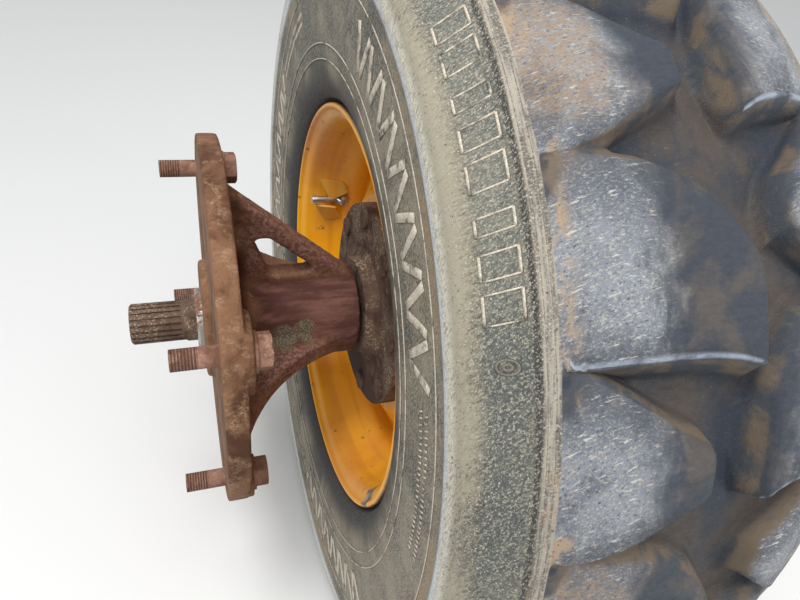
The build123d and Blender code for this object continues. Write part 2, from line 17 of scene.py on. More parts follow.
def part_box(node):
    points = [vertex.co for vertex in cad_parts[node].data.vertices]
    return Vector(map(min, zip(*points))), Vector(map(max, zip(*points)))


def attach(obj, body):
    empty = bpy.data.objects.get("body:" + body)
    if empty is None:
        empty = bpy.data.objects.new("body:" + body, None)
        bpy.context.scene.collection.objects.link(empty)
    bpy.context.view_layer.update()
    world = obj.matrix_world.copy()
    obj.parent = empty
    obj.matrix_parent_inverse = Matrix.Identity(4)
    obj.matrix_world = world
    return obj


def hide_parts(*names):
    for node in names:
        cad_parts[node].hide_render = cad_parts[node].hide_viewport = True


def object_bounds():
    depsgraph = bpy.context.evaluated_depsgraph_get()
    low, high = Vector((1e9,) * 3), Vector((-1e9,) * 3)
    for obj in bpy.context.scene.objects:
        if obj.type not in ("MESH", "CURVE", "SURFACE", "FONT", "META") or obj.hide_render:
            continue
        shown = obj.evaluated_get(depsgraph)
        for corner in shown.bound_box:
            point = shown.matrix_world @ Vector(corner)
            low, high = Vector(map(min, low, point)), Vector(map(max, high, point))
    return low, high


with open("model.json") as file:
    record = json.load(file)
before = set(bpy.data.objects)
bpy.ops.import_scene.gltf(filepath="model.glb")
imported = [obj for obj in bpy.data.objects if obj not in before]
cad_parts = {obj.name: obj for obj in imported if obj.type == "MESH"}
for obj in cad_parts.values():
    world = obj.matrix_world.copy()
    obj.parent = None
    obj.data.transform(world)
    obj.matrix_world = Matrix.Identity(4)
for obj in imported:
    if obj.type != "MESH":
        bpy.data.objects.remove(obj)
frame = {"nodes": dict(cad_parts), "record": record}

cad_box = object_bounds()
nodes = frame["nodes"]
print("solids loaded:", len(nodes))

# %% [markdown]
# The tyre and the rim are the same on both sides of one plane across the axle.
# The box of the tyre's solid gives its place, and widths below count from it.

# %% Find the middle of the wheel
tyre_low, tyre_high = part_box("tyre")
mid_x = (tyre_low.x + tyre_high.x) / 2
print("middle of the wheel at x", round(mid_x, 4))

# %% [markdown]
# The camera comes first, so that each piece can be judged as it is made. It
# stands beside the flange, close to the tread, and looks down into the wheel.
# Its place and its three turns were fitted to the round edges of the rim and
# the tyre, which show as ellipses.

# %% Set the camera
camera_place = Vector((-0.0164, -0.4607, 0.4896))
camera_heading = 26.7   # degrees from +Y towards +X
camera_pitch = -43.5
camera_roll = 13.9
lens = 27.0             # millimetres, on a 36 mm sensor

camera_data = bpy.data.cameras.new("camera")
camera_data.lens = lens
camera_data.sensor_width = 36.0
camera_data.clip_start = 0.01
camera = bpy.data.objects.new("camera", camera_data)
bpy.context.scene.collection.objects.link(camera)
turn = (
    Matrix.Rotation(radians(-camera_heading), 4, "Z")
    @ Matrix.Rotation(radians(90 + camera_pitch), 4, "X")
    @ Matrix.Rotation(radians(camera_roll), 4, "Z")
)
camera.matrix_world = Matrix.Translation(camera_place) @ turn
bpy.context.scene.camera = camera
print("camera at", tuple(round(value, 3) for value in camera_place))

# %% [markdown]
# The stage is a pale floor under the tyre, a pale world that shows behind the
# object and in its gloss, two wide soft lamps, and a smaller one above that
# shines into the lower half of the wheel. The world alone lights a surface to
# about half of its own colour, and the lamps add the rest.

# %% Floor, world and lamps
floor_size = 9.0
pale = (0.80, 0.80, 0.79, 1.0)


def new_object(name, data):
    """An object in the scene, at the origin."""
    made = bpy.data.objects.new(name, data)
    bpy.context.scene.collection.objects.link(made)
    return made


def mesh_of(shape, name):
    """A smooth-shaded mesh object from a bmesh, with its faces turned outwards."""
    bmesh.ops.recalc_face_normals(shape, faces=shape.faces[:])
    for face in shape.faces:
        face.smooth = True
    mesh = bpy.data.meshes.new(name)
    shape.to_mesh(mesh)
    shape.free()
    return new_object(name, mesh)


floor_shape = bmesh.new()
bmesh.ops.create_grid(floor_shape, x_segments=1, y_segments=1, size=floor_size)
bmesh.ops.translate(floor_shape, verts=floor_shape.verts[:], vec=(0, 0, cad_box[0][2]))
floor = mesh_of(floor_shape, "floor")
floor_finish = bpy.data.materials.new("pale_floor")
floor_finish.use_nodes = True
floor_shader = floor_finish.node_tree.nodes["Principled BSDF"]
floor_shader.inputs["Base Color"].default_value = pale
floor_shader.inputs["Roughness"].default_value = 0.85
floor.data.materials.append(floor_finish)

world = bpy.data.worlds.new("pale_world")
bpy.context.scene.world = world
world.use_nodes = True
links = world.node_tree.links
background = world.node_tree.nodes["Background"]
background.inputs["Color"].default_value = (0.96, 0.98, 1.0, 1.0)
ray = world.node_tree.nodes.new("ShaderNodeLightPath")
seen = world.node_tree.nodes.new("ShaderNodeMath")
seen.operation = "MAXIMUM"
links.new(ray.outputs["Is Camera Ray"], seen.inputs[0])
links.new(ray.outputs["Is Glossy Ray"], seen.inputs[1])
strength = world.node_tree.nodes.new("ShaderNodeMapRange")
strength.inputs["To Min"].default_value = 0.60
strength.inputs["To Max"].default_value = 0.92
links.new(seen.outputs[0], strength.inputs["Value"])
links.new(strength.outputs[0], background.inputs["Strength"])
bpy.context.scene.view_settings.view_transform = "Standard"


def soft_lamp(name, place, power, size):
    """A square lamp that points at the middle of the wheel."""
    data = bpy.data.lights.new(name, "AREA")
    data.energy = power
    data.size = size
    lamp = new_object(name, data)
    aim = Vector((mid_x, 0, 0)) - Vector(place)
    turned = aim.to_track_quat("-Z", "Y").to_matrix().to_4x4()
    lamp.matrix_world = Matrix.Translation(place) @ turned
    return lamp


soft_lamp("sky_lamp", (-0.4, -1.0, 2.2), 31.0, 1.8)
soft_lamp("side_lamp", (1.6, -1.9, 0.9), 16.0, 1.6)
soft_lamp("wheel_lamp", (-0.45, -0.20, 1.9), 20.0, 0.6)
print("stage ready")

# %% [markdown]
# A finish is a small network of nodes. The helper below adds them by one call
# each, and hands back the output that the next call takes. Patterns read
# Object coordinates, so they stay on the piece as it turns, and a plain number
# goes straight to the shader's own socket.

# %% A helper for finishes
unroll_radius = 0.35      # between the rim and the tread


class Finish:
    """One material, and short ways to add the nodes that it needs."""

    def __init__(self, name):
        self.material = bpy.data.materials.new(name)
        self.material.use_nodes = True
        self.tree = self.material.node_tree
        self.shader = self.tree.nodes["Principled BSDF"]
        self.place = self.add("TexCoord").outputs["Object"]
        self.normal = None

    def add(self, kind, **settings):
        """A node of a kind, with its settings."""
        made = self.tree.nodes.new("ShaderNode" + kind)
        for key, value in settings.items():
            setattr(made, key, value)
        return made

    def feed(self, socket, value):
        """Links an output to a socket, or sets the socket's own value."""
        if hasattr(value, "links"):
            self.tree.links.new(value, socket)
        elif hasattr(value, "__len__") and len(value) == 3 and socket.type == "RGBA":
            socket.default_value = (*value, 1.0)
        else:
            socket.default_value = value

    def feed_all(self, made, values):
        """Feeds several of a node's sockets by their names."""
        for name, value in values.items():
            self.feed(made.inputs[name], value)

    def attribute(self, name):
        """A number that the mesh carries at each vertex."""
        made = self.add("Attribute", attribute_name=name, attribute_type="GEOMETRY")
        return made.outputs["Fac"]

    def maths(self, kind, first, second=0.0):
        """A Math node, such as SQRT, SINE or MAXIMUM."""
        made = self.add("Math", operation=kind)
        self.feed(made.inputs[0], first)
        self.feed(made.inputs[1], second)
        return made.outputs[0]

    def plus(self, first, second):
        return self.maths("ADD", first, second)

    def minus(self, first, second):
        return self.maths("SUBTRACT", first, second)

    def times(self, first, second):
        return self.maths("MULTIPLY", first, second)

    def parts(self):
        """The x, y and z of the place on the piece."""
        made = self.add("SeparateXYZ")
        self.feed(made.inputs[0], self.place)
        return made.outputs

    def from_axle(self):
        """The distance from the axle."""
        x, y, z = self.parts()
        return self.maths("SQRT", self.plus(self.times(y, y), self.times(z, z)))

    def stretched(self, scale, turn=(0.0, 0.0, 0.0), at=None):
        """The place, or another vector, scaled unevenly, for streaks and brushed marks."""
        made = self.add("Mapping")
        self.feed(made.inputs["Vector"], at or self.place)
        made.inputs["Scale"].default_value = scale
        made.inputs["Rotation"].default_value = turn
        return made.outputs[0]

    def spot(self, centre, inner, outer, rough):
        """1 near a place on the piece and 0 away from it, with a broken edge."""
        made = self.add("VectorMath", operation="DISTANCE")
        self.feed(made.inputs[0], self.place)
        made.inputs[1].default_value = centre
        broken = self.minus(self.noise(90.0, 4.0, 0.6), 0.5)
        return self.fall(self.plus(made.outputs["Value"], self.times(broken, rough)), inner, outer)

    def around(self):
        """The place unrolled about the axle: along the tread, along the axle, and out."""
        x, y, z = self.parts()
        made = self.add("CombineXYZ")
        angle = self.maths("ARCTAN2", z, self.times(y, -1.0))
        self.feed(made.inputs[0], self.times(angle, unroll_radius))
        self.feed(made.inputs[1], x)
        self.feed(made.inputs[2], self.from_axle())
        return made.outputs[0]

    def noise(self, scale, detail=4.0, roughness=0.55, at=None, distortion=0.0):
        """Cloudy noise from 0 to 1."""
        made = self.add("TexNoise")
        self.feed_all(made, {
            "Vector": at or self.place, "Scale": scale, "Detail": detail,
            "Roughness": roughness, "Distortion": distortion,
        })
        return made.outputs["Fac"]

    def cells(self, scale):
        """Distance in a cell pattern, for pits."""
        made = self.add("TexVoronoi")
        self.feed_all(made, {"Vector": self.place, "Scale": scale})
        return made.outputs["Distance"]

    def rise(self, value, low, high, first=0.0, last=1.0):
        """0 below low, 1 above high, and smooth between."""
        made = self.add("MapRange", interpolation_type="SMOOTHSTEP")
        self.feed_all(made, {
            "Value": value, "From Min": low, "From Max": high, "To Min": first, "To Max": last,
        })
        return made.outputs[0]

    def fall(self, value, low, high):
        """1 below low, 0 above high, and smooth between."""
        return self.rise(value, low, high, 1.0, 0.0)

    def band(self, value, low, high, soft):
        """1 between low and high, with soft edges."""
        above = self.rise(value, low - soft, low + soft)
        return self.times(above, self.fall(value, high - soft, high + soft))

    def both(self, *masks):
        """The product of masks."""
        result = masks[0]
        for mask in masks[1:]:
            result = self.times(result, mask)
        return result

    def over(self, mask, below, above):
        """One colour over another by a mask."""
        made = self.add("Mix", data_type="RGBA")
        self.feed(made.inputs[0], mask)
        colour_inputs = [socket for socket in made.inputs if socket.type == "RGBA"]
        self.feed(colour_inputs[0], below)
        self.feed(colour_inputs[1], above)
        return [socket for socket in made.outputs if socket.type == "RGBA"][0]

    def level(self, mask, below, above):
        """One number to another by a mask."""
        made = self.add("Mix", data_type="FLOAT")
        self.feed(made.inputs[0], mask)
        self.feed(made.inputs[2], below)
        self.feed(made.inputs[3], above)
        return made.outputs[0]

    def bump(self, height, depth):
        """Raises the surface by height times depth, in metres."""
        made = self.add("Bump")
        self.feed_all(made, {"Strength": 1.0, "Distance": depth, "Height": height})
        if self.normal is not None:
            self.feed(made.inputs["Normal"], self.normal)
        self.normal = made.outputs[0]

    def done(self, colour, roughness, metallic=0.0, specular=0.5):
        """Wires the shader and gives the material."""
        self.feed_all(self.shader, {
            "Base Color": colour, "Roughness": roughness, "Metallic": metallic,
            "Specular IOR Level": specular,
        })
        if self.normal is not None:
            self.feed(self.shader.inputs["Normal"], self.normal)
        return self.material


print("finish helper ready")

# %% [markdown]
# Rubber that works outdoors is hardly ever black. The sidewall is grey under
# dried tan dust in streaks, the rubbing ridge is scuffed to sand colour with a
# painted highlight on its crest and a blue-white painted sheen, and the hollows
# between the lugs keep a clean slate grey, painted darker as shade. The tyre's
# mesh carries four attributes for this: on_tread is 1 on the tread, lug_height goes
# from 0 in the hollows to 1 on the lugs' tops, lug_edge is 1 on the long lugs'
# lower edge, and lug_across goes from 0 at a lug's lower edge to 1 at its upper.

# %% Finish of the tyre's side
def side_rubber(rubber, radius, width, unrolled, clouds, brushed, specks, dashes):
    """The colour of the sidewall, its rubbing ridge, the band and the shoulder's ring."""
    dust = rubber.level(0.45, brushed, clouds)
    side = rubber.over(rubber.rise(dust, 0.42, 0.58), (0.050, 0.048, 0.043), (0.240, 0.203, 0.138))
    blotches = rubber.rise(rubber.noise(22.0, 5.0, 0.65, at=unrolled, distortion=0.4), 0.50, 0.62)
    side = rubber.over(rubber.times(blotches, 0.55), side, (0.270, 0.235, 0.165))
    foot = rubber.both(rubber.band(radius, 0.332, 0.347, 0.005), rubber.rise(clouds, 0.46, 0.60))
    side = rubber.over(foot, side, (0.250, 0.175, 0.095))
    ridge = rubber.both(rubber.band(radius, 0.350, 0.377, 0.005), rubber.rise(dust, 0.28, 0.56))
    side = rubber.over(ridge, side, (0.330, 0.298, 0.215))
    # The ridge's crest is scuffed pale, and painted paler still as a highlight.
    crest = rubber.both(rubber.band(radius, 0.353, 0.366, 0.004), rubber.rise(brushed, 0.34, 0.54))
    side = rubber.over(crest, side, (0.640, 0.610, 0.520))
    # Painted highlight: a blue-white line along the rubbing ridge.
    painted_sheen = rubber.both(rubber.band(radius, 0.351, 0.357, 0.0025), rubber.rise(dust, 0.36, 0.52))
    side = rubber.over(painted_sheen, side, (0.600, 0.650, 0.730))
    band = rubber.band(radius, 0.3800, 0.3985, 0.0030)
    side = rubber.over(band, side, rubber.over(
        rubber.rise(dust, 0.42, 0.64), (0.066, 0.074, 0.070), (0.190, 0.180, 0.138)))
    # Painted shade: a dark line on the step down from the shoulder's ring to the band.
    step = rubber.band(width, 0.1176, 0.1196, 0.0006)
    side = rubber.over(step, side, (0.040, 0.038, 0.036))
    streaks = rubber.noise(200.0, 4.0, 0.6, at=rubber.stretched((0.14, 1.6, 1.6), at=unrolled))
    ring = rubber.fall(width, 0.1166, 0.1178)
    ring_rubber = rubber.over(
        rubber.rise(streaks, 0.38, 0.62), (0.120, 0.105, 0.088), (0.350, 0.310, 0.250))
    ring_rubber = rubber.over(rubber.rise(clouds, 0.52, 0.62), ring_rubber, (0.300, 0.190, 0.110))
    side = rubber.over(ring, side, ring_rubber)
    for line in (0.1106, 0.1150):
        side = rubber.over(
            rubber.band(width, line, line + 0.0004, 0.0003), side, (0.085, 0.068, 0.058))
    clumps = rubber.plus(rubber.times(dashes, 0.55), rubber.times(specks, 0.45))
    dusted = rubber.rise(radius, 0.25, 0.27)
    side = rubber.over(
        rubber.both(rubber.rise(clumps, 0.49, 0.60), dusted), side, (0.330, 0.308, 0.245))
    side = rubber.over(
        rubber.both(rubber.rise(specks, 0.66, 0.70), dusted), side, (0.600, 0.580, 0.520))
    side = rubber.over(rubber.fall(dashes, 0.33, 0.40), side, (0.034, 0.034, 0.032))
    return rubber.over(rubber.fall(radius, 0.234, 0.258), side, (0.040, 0.038, 0.036))


print("colours of the side ready")

# %% [markdown]
# The tread's colour follows the lugs. Their tops are scuffed pale where they
# wear most, and painted lighter across the middle and darker towards both edges
# as light and shade. Their ends towards the middle of the tread are painted dark
# as shade, with brown patches. The walls are painted in shade, the hollows are
# painted darker still as shade and hold packed dirt, and the long lugs' lower
# edge has a painted highlight.

# %% Finish of the tyre's tread
def tread_rubber(rubber, width, unrolled, clouds, brushed, specks, dashes):
    """The colour of the lugs' tops, their edges, their walls and the hollows."""
    height = rubber.attribute("lug_height")
    edge = rubber.attribute("lug_edge")
    across = rubber.attribute("lug_across")
    patches = rubber.noise(30.0, 5.0, 0.62, at=unrolled, distortion=0.5)
    moved = rubber.plus(width, rubber.times(patches, 0.06))
    unshaded_outer = rubber.rise(moved, 0.066, 0.098)
    # Painted light across the middle of each lug's top and painted shade towards both its edges,
    # mixed with patches of wear.
    shifted = rubber.plus(across, rubber.times(rubber.minus(patches, 0.5), 0.7))
    painted_lit_middle = rubber.band(shifted, 0.16, 0.72, 0.14)
    worn_patches = rubber.rise(rubber.level(0.5, clouds, patches), 0.34, 0.54)
    worn_and_lit = rubber.times(worn_patches, rubber.level(painted_lit_middle, 0.35, 1.0))
    top = rubber.over(worn_and_lit, (0.048, 0.056, 0.072), (0.200, 0.214, 0.242))
    clumps = rubber.plus(rubber.times(dashes, 0.6), rubber.times(specks, 0.4))
    cream = rubber.both(rubber.rise(clumps, 0.51, 0.60), rubber.level(worn_and_lit, 0.30, 1.0))
    top = rubber.over(cream, top, (0.370, 0.352, 0.300))
    scratches = rubber.noise(
        300.0, 3.0, 0.6, at=rubber.stretched((0.35, 2.4, 0.5), (0.4, 0.2, 0.9)))
    top = rubber.over(
        rubber.times(rubber.rise(scratches, 0.60, 0.68), 0.7), top, (0.560, 0.540, 0.480))
    mud = rubber.rise(rubber.noise(9.0, 3.0, 0.5, at=unrolled), 0.54, 0.66)
    top = rubber.over(
        rubber.both(mud, rubber.rise(brushed, 0.35, 0.65)), top, (0.270, 0.190, 0.125))
    near_ring = rubber.both(rubber.rise(width, 0.094, 0.104), rubber.rise(patches, 0.48, 0.60))
    top = rubber.over(near_ring, top, (0.330, 0.235, 0.150))
    # Painted shade on the lugs' ends towards the middle of the tread, browner in patches.
    shaded_end = rubber.over(
        rubber.rise(patches, 0.46, 0.64), (0.026, 0.033, 0.046), (0.066, 0.056, 0.050))
    top = rubber.over(unshaded_outer, shaded_end, top)
    top = rubber.over(
        rubber.both(rubber.fall(dashes, 0.34, 0.42), unshaded_outer), top, (0.050, 0.052, 0.058))
    # Painted shade in the hollows between the lugs, over slate rubber with brown dirt and pale
    # specks.
    shaded_hollow = rubber.over(
        rubber.rise(clouds, 0.44, 0.60), (0.020, 0.027, 0.040), (0.060, 0.047, 0.038))
    wall = rubber.over(
        rubber.rise(patches, 0.42, 0.58), (0.040, 0.046, 0.056), (0.125, 0.092, 0.062))
    shaded_hollow = rubber.over(rubber.rise(specks, 0.66, 0.72), shaded_hollow, (0.220, 0.205, 0.180))
    worn_height = rubber.plus(height, rubber.times(rubber.minus(patches, 0.5), 0.30))
    tread = rubber.over(rubber.rise(height, 0.10, 0.42), shaded_hollow, wall)
    tread = rubber.over(rubber.rise(worn_height, 0.72, 0.98), tread, top)
    # Painted highlight: a blue-white line along the long lugs' lower edge, with the lower roughness
    # of rubbed rubber.
    rubbed_edge_highlight = rubber.both(rubber.rise(edge, 0.86, 0.99), rubber.rise(patches, 0.36, 0.56))
    return rubber.over(rubbed_edge_highlight, tread, (0.300, 0.345, 0.420)), rubbed_edge_highlight


print("colours of the tread ready")

# %% [markdown]
# Both colours share their noises, so dust runs on from the side to the tread,
# and the attribute on_tread chooses between them.

# %% Finish of the tyre
def tyre_rubber():
    """Worn rubber: the side and the tread, each with its own dust."""
    rubber = Finish("tyre_rubber")
    radius = rubber.from_axle()
    width = rubber.maths("ABSOLUTE", rubber.minus(rubber.parts()[0], mid_x))
    unrolled = rubber.around()
    clouds = rubber.noise(11.0, 5.0, 0.6, at=unrolled)
    brushed = rubber.noise(150.0, 6.0, 0.75, at=rubber.stretched((1.0, 3.4, 1.2), (0.5, 0.2, 0.9)))
    specks = rubber.noise(900.0, 3.0, 0.65)
    dashes = rubber.noise(430.0, 4.0, 0.7, at=rubber.stretched((1.0, 2.2, 0.8), (0.9, 0.0, 0.4)))
    side = side_rubber(rubber, radius, width, unrolled, clouds, brushed, specks, dashes)
    tread, rubbed_edge_highlight = tread_rubber(rubber, width, unrolled, clouds, brushed, specks, dashes)
    on_tread = rubber.attribute("on_tread")
    colour = rubber.over(rubber.rise(on_tread, 0.35, 0.65), side, tread)
    rubber.bump(specks, 0.0005)
    rubber.bump(brushed, 0.0006)
    rough = rubber.level(rubber.rise(brushed, 0.3, 0.7), 0.50, 0.85)
    return rubber.done(colour, rubber.level(rubbed_edge_highlight, rough, 0.32), specular=0.45)


tyre_finish = tyre_rubber()
print("rubber ready")

# %% [markdown]
# The tread has eleven long lugs and eleven short ones on each side. A lug
# starts as wide as it can at the shoulder, where it meets its neighbours, and
# narrows towards the middle of the tread. The far side's lugs are shorter
# mirror images, and their ends stand in the hollows of the near side.
#
# One grid holds one pair of lugs of each side. Its rows run round the tyre's
# section from bead to bead, and its columns follow the lugs' edges, so every
# edge is a clean line of the mesh. Eleven turned copies then make the tyre.

# %% Sizes of the tread
lug_pairs = 11
lug_pitch = 360 / lug_pairs / 2
pair_pitch = 2 * lug_pitch
first_lug_angle = 40.35   # of a long lug's lower corner, from the front towards the top
far_lug_turn = 20.5       # from there to the far side's long lug
far_lug_share = 0.6       # the length of the far side's lugs, of the near side's
lug_start = 0.107         # the lugs' outer ends, from the middle of the tread
lug_columns = 7           # foot, top edge, three between, top edge, foot
wall_lean = tan(radians(24))
low_wall_factor = 1.5     # a long lug's lower wall leans more
worn_edge = 0.0022        # the upper edges are worn down by this much
# Distance in from the shoulder, and the degrees of the lower and upper edge.
long_lug = [
    (0.0, 0.0, 16.36), (0.007, 0.05, 16.3), (0.032, 0.3, 15.9), (0.060, 0.3, 15.3),
    (0.088, 0.1, 13.6), (0.107, -0.3, 11.4), (0.127, -1.1, 7.8), (0.139, -1.6, 5.8),
]
short_lug = [
    (0.0, 0.0, 16.36), (0.007, 0.0, 16.2), (0.019, 0.3, 15.6), (0.041, 1.6, 13.5),
    (0.066, 3.3, 11.0), (0.085, 4.6, 9.5), (0.095, 5.2, 8.8), (0.107, 5.8, 8.2),
]
# Distance from the middle, the lugs' tops and the hollows' floor.
tread_levels = [
    (0.107, 0.4065, 0.4065), (0.096, 0.4110, 0.4000), (0.080, 0.4160, 0.3970),
    (0.062, 0.4198, 0.3960), (0.020, 0.4218, 0.3960), (0.0, 0.4219, 0.3965),
]
tread_rows = [
    0.107, 0.1045, 0.100, 0.095, 0.089, 0.082, 0.075, 0.068, 0.060, 0.053, 0.0475, 0.042, 0.036,
    0.031, 0.0255, 0.020, 0.014, 0.0075, 0.0025,
]
print("lugs on each side:", 2 * lug_pairs)

# %% [markdown]
# A row of the grid lies at one distance from the middle of the tread. Each lug
# that reaches it gives seven columns: the foot of its lower wall, five across
# its top, and the foot of its upper wall. Where a lug has ended, its columns
# are spread over the hollow, so every row has the same number.

# %% One row of the tread
def read_table(table, place, column, falling=True):
    """A value between the rows of a table, by its first column."""
    sign = -1 if falling else 1
    if sign * place <= sign * table[0][0]:
        return table[0][column]
    for first, second in zip(table, table[1:]):
        if sign * place <= sign * second[0]:
            share = (place - first[0]) / (second[0] - first[0])
            return first[column] + share * (second[column] - first[column])
    return table[-1][column]


def lug_at(table, side, offset, place):
    """A lug's two edges in degrees and how much of it stands at this row, or None past its nose."""
    share = 1.0 if side > 0 else far_lug_share
    run_in = (lug_start - place * side) / share
    nose_top, nose_foot = table[-2][0], table[-1][0]
    if run_in > nose_foot:
        return None
    stands = min(1.0, (nose_foot - run_in) / (nose_foot - nose_top))
    low, high = (offset + read_table(table, run_in, column, False) for column in (1, 2))
    return [low, high, stands]


def lug_feet(lugs, present, top, depth):
    """The feet of each lug's two walls as (run, radius), met halfway where a hollow is narrow."""
    full_run = degrees(depth * wall_lean / top)
    before, after = {}, {}
    for number, index in enumerate(present):
        following = present[(number + 1) % len(present)]
        wrap = pair_pitch if following <= index else 0.0
        gap = max(0.0, lugs[following][0] + wrap - lugs[index][1])
        for lug_index, feet in ((index, after), (following, before)):
            stands = lugs[lug_index][2]
            lean = low_wall_factor if feet is before and lug_index == 0 else 1.0
            run = min(full_run * lean * stands, gap / 2)
            share = run / (full_run * lean) if full_run else 0.0
            feet[lug_index] = (run, top - depth * (1 - stands) - depth * share)
    return before, after


def spread_absent(flat):
    """Fills the columns of absent lugs evenly between their neighbours' feet."""
    count = len(flat)
    known = [index for index, point in enumerate(flat) if point]
    for number, index in enumerate(known):
        following = known[(number + 1) % len(known)]
        wrap = 1 if following <= index else 0
        span = following + wrap * count - index
        (start_angle, start_radius), (end_angle, end_radius) = flat[index], flat[following]
        for step in range(1, span):
            share = step / span
            angle = start_angle + (end_angle + wrap * pair_pitch - start_angle) * share
            passed = pair_pitch if index + step >= count else 0.0
            radius = start_radius + (end_radius - start_radius) * share
            flat[(index + step) % count] = (angle - passed, radius)
    return flat


def tread_row(place):
    """One row's columns as (degrees, radius), lug after lug in the order that they come round."""
    top = read_table(tread_levels, abs(place), 1)
    depth = top - read_table(tread_levels, abs(place), 2)
    order = [(long_lug, 1, 0.0), (short_lug, -1, far_lug_turn - lug_pitch),
             (short_lug, 1, lug_pitch), (long_lug, -1, far_lug_turn)]
    lugs = [lug_at(table, side, offset, place) for table, side, offset in order]
    present = [index for index, lug in enumerate(lugs) if lug]
    before, after = lug_feet(lugs, present, top, depth)
    flat = [None] * (len(lugs) * lug_columns)
    for index in present:
        low, high, stands = lugs[index]
        crest = top - depth * (1 - stands)
        inner = [
            (low + (high - low) * share / 4, crest - worn_edge * (share == 4))
            for share in range(5)
        ]
        first_foot = (low - before[index][0], before[index][1])
        last_foot = (high + after[index][0], after[index][1])
        flat[index * lug_columns:(index + 1) * lug_columns] = [first_foot, *inner, last_foot]
    return spread_absent(flat)


print("columns in a pair:", len(tread_row(0.06)))

# %% [markdown]
# The tyre's section runs from the ring at the shoulder, over two fine mould
# lines and a step down to the plain band, up on to the rubbing ridge that
# guards the sidewall, down the sidewall, over the bulge that hides the rim's
# edge, and round the bead. Inside it is plain.

# %% The section of one side, from the shoulder's ring to the inside
shoulder = [
    (0.1092, 0.4056), (0.1102, 0.4047), (0.1114, 0.4049), (0.1136, 0.4040),
    (0.1146, 0.4031), (0.1156, 0.4033), (0.1176, 0.4022), (0.1184, 0.3998), (0.1202, 0.3976),
]
band_and_ridge = [
    (0.1270, 0.3914), (0.1340, 0.3855), (0.1402, 0.3804), (0.1430, 0.3790), (0.1466, 0.3768),
    (0.1497, 0.3735), (0.1518, 0.3690), (0.1531, 0.3625), (0.1532, 0.3565), (0.1522, 0.3510),
    (0.1506, 0.3470), (0.1497, 0.3425),
]
sidewall = [
    (0.1496, 0.3300), (0.1494, 0.3120), (0.1492, 0.2900), (0.1483, 0.2700), (0.1467, 0.2540),
    (0.1443, 0.2410), (0.1412, 0.2335), (0.1382, 0.2297), (0.1362, 0.2272),
]
bead = [
    (0.1335, 0.2254), (0.1292, 0.2243), (0.1255, 0.2205), (0.1237, 0.2165), (0.1234, 0.2100),
    (0.1046, 0.2050),
]
inside = [
    (0.1118, 0.2220), (0.1258, 0.2460), (0.1275, 0.2900), (0.1265, 0.3460), (0.1060, 0.3730),
    (0.0620, 0.3810),
]
side_section = shoulder + band_and_ridge + sidewall + bead + inside
print("rows on each side:", len(side_section))

# %% [markdown]
# A flat grid is bent to the rows, and spin copies it round the axle. One level
# of subdivision rounds it, and creases keep the lugs' edges firm. Solid lugs
# could be joined to a smooth tyre instead, but they would leave hard seams.

# %% The tyre's mesh
tread_layers = ("on_tread", "lug_height", "lug_edge", "lug_across")
long_lower_edges = (1, 3 * lug_columns + 1)   # columns
lowest_tread = 0.39       # rows with a smaller radius belong to the sides
blend_rows = 5            # past the shoulder, where the columns even out
firm_places = {0.107, 0.1176, 0.1202, 0.1402, 0.1430}
firm_steps = 0.6
lug_firmness = {0: 0.2, 1: 0.8, 5: 0.25, 6: 0.1}   # by column of a lug


def tyre_rows():
    """Every row of the section, once round it, as (distance from the middle, columns)."""
    columns = lug_columns * 4
    even = [step * pair_pitch / columns for step in range(columns)]

    def side_rows(sign):
        edge = tread_row(sign * tread_rows[0])
        rows = []
        for number, (place, radius) in enumerate(side_section):
            share = min(1.0, (number + 1) / (len(shoulder) + blend_rows))
            rows.append((sign * place, [
                ((1 - share) * edge[k][0] + share * (even[k] + edge[0][0]), radius)
                for k in range(columns)
            ]))
        return rows

    tread = [(place, tread_row(place)) for place in tread_rows]
    tread += [(-place, tread_row(-place)) for place in reversed(tread_rows)]
    return list(reversed(side_rows(1))) + tread + side_rows(-1)


def place_row(line, place, points, layers):
    """Sets one row of the grid round the section, with its vertices' attributes."""
    on_tread, height, edge, across = layers
    closing = (points[0][0] + pair_pitch, points[0][1])
    top = read_table(tread_levels, abs(place), 1)
    depth = max(0.001, top - read_table(tread_levels, abs(place), 2))
    lugged = abs(place) <= tread_rows[0] and points[0][1] > lowest_tread
    for column, (vert, (angle, radius)) in enumerate(zip(line, points + [closing])):
        turned = radians(first_lug_angle + angle)
        vert.co = (mid_x - place, -radius * cos(turned), radius * sin(turned))
        share = 1.0 - min(1.0, max(0.0, (top - radius) / depth))
        vert[on_tread] = float(lugged)
        vert[height] = share if lugged else 1.0
        vert[edge] = float(lugged and column in long_lower_edges and share > 0.8)
        vert[across] = (column % lug_columns - 1) / (lug_columns - 3)


def crease_rows(shape, lines, rows, crease):
    """Keeps the lugs' edges and the steps of the section firm when the mesh is rounded."""
    for number, (place, points) in enumerate(rows[:-1]):
        line, following = lines[number], lines[number + 1]
        if abs(place) < tread_rows[0] and points[0][1] > lowest_tread:
            for column, (first, second) in enumerate(zip(line, following)):
                firmness = lug_firmness.get(column % lug_columns, 0.0)
                shape.edges.get((first, second))[crease] = firmness
        if abs(place) in firm_places:
            for first, second in zip(line, line[1:]):
                shape.edges.get((first, second))[crease] = firm_steps


def round_off(piece):
    """One level of subdivision, the same while modelling and in a render."""
    rounder = piece.modifiers.new("rounded", "SUBSURF")
    rounder.levels = 1
    rounder.render_levels = 1


